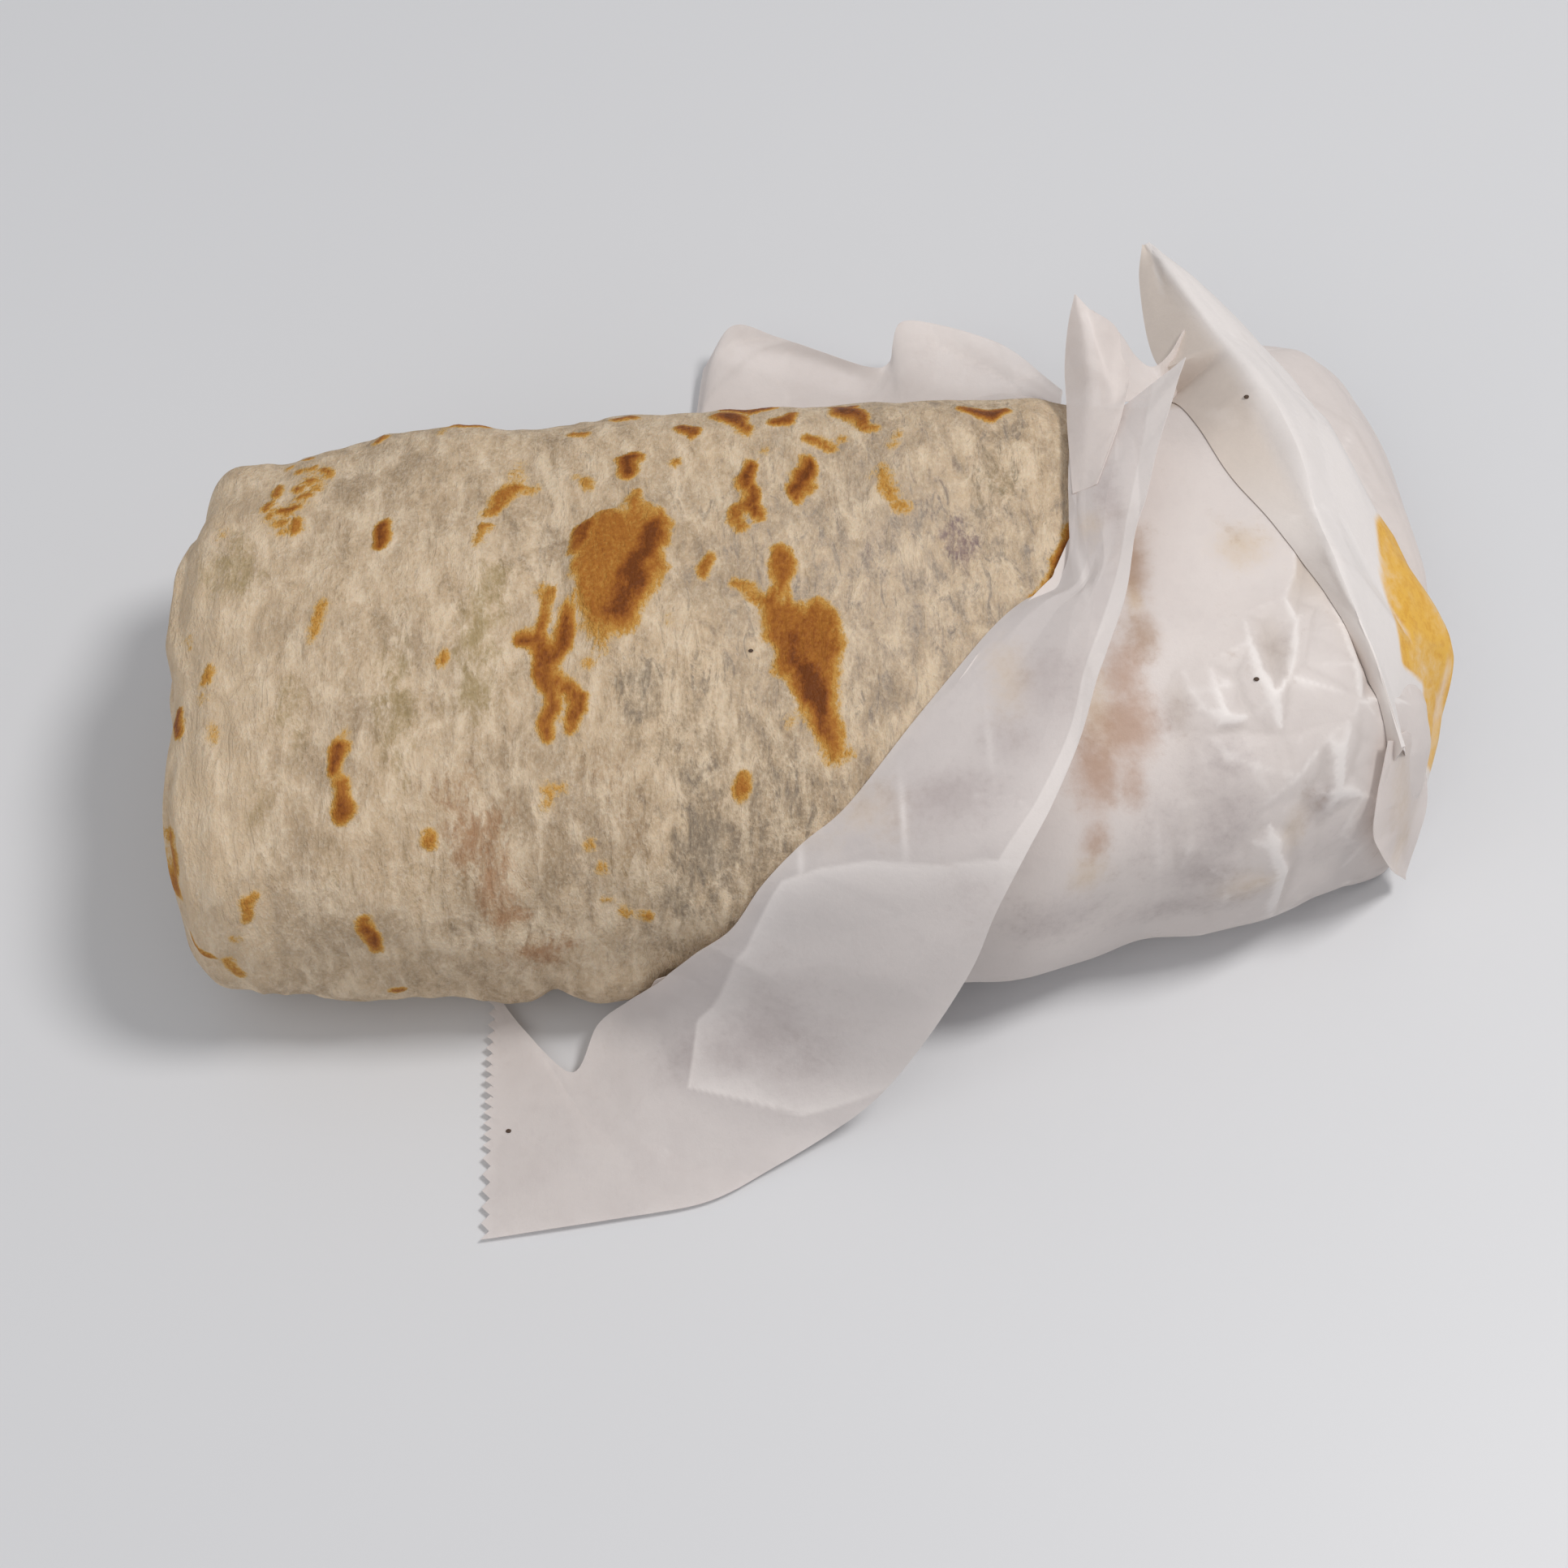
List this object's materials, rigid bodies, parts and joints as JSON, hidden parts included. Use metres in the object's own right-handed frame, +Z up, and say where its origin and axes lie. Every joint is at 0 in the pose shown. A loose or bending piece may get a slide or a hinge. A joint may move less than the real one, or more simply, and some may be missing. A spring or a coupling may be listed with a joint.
{
  "type": "burrito",
  "caption": "Whole burrito in a browned flour tortilla, rolled with tucked ends, half wrapped in one sheet of thin white deli paper folded back on the slant.",
  "frame": {"origin": "on the surface the burrito lies on, under the middle of the roll, at the mount base", "axes": "+X along the roll towards the paper-wrapped end, +Y towards the far side, +Z up from the surface it lies on"},
  "size_m": [0.2101, 0.1721, 0.0664],
  "materials": {
    "tortilla": "matte, soft and slightly floury, with toasted brown marks",
    "deli_paper": "thin translucent white dry-waxed tissue, satin"
  },
  "bodies": {
    "root": {"tortilla_roll": "tortilla", "paper_wrap": "deli_paper"}
  },
  "joints": []
}
